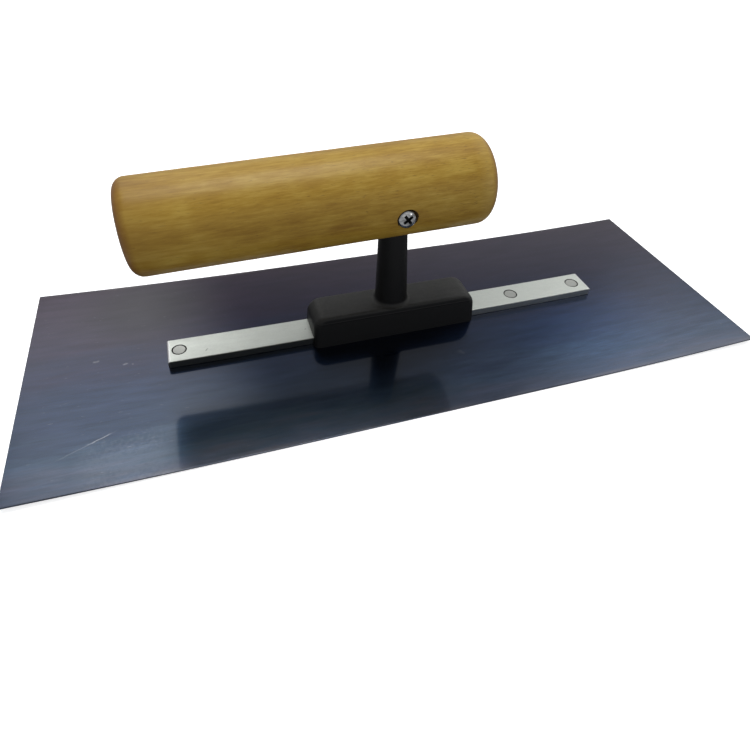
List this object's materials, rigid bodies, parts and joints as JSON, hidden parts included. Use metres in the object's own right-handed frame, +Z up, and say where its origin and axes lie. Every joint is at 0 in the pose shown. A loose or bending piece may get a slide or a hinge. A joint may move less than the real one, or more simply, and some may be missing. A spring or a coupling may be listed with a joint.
{
  "type": "finishing trowel",
  "caption": "Rectangular steel finishing trowel: a springy blade riveted to a flat bar, with a moulded shank that carries a round wooden handle.",
  "frame": {"origin": "on the blade's underside, at the middle of its flat centre", "axes": "+X along the blade towards the end with two rivets, +Y away from the handle screw, +Z up towards the handle"},
  "size_m": [0.28, 0.1, 0.0783],
  "materials": {
    "blade_steel": "blued spring steel, fine rolled grain along the length, semi-gloss",
    "bar_metal": "mill-finish flat bar, lightly scuffed",
    "rivet_metal": "hammered flush and linished",
    "shank_plastic": "black moulded, satin",
    "handle_wood": "turned hardwood, golden, varnished satin",
    "screw_metal": "bright plated"
  },
  "bodies": {
    "root": {"blade": "blade_steel", "mounting_bar": "bar_metal", "rivet_left": "rivet_metal", "rivet_hidden_left": "rivet_metal", "rivet_hidden_right": "rivet_metal", "rivet_right_inner": "rivet_metal", "rivet_right_outer": "rivet_metal", "shank": "shank_plastic", "handle": "handle_wood", "handle_screw": "screw_metal"}
  },
  "joints": []
}
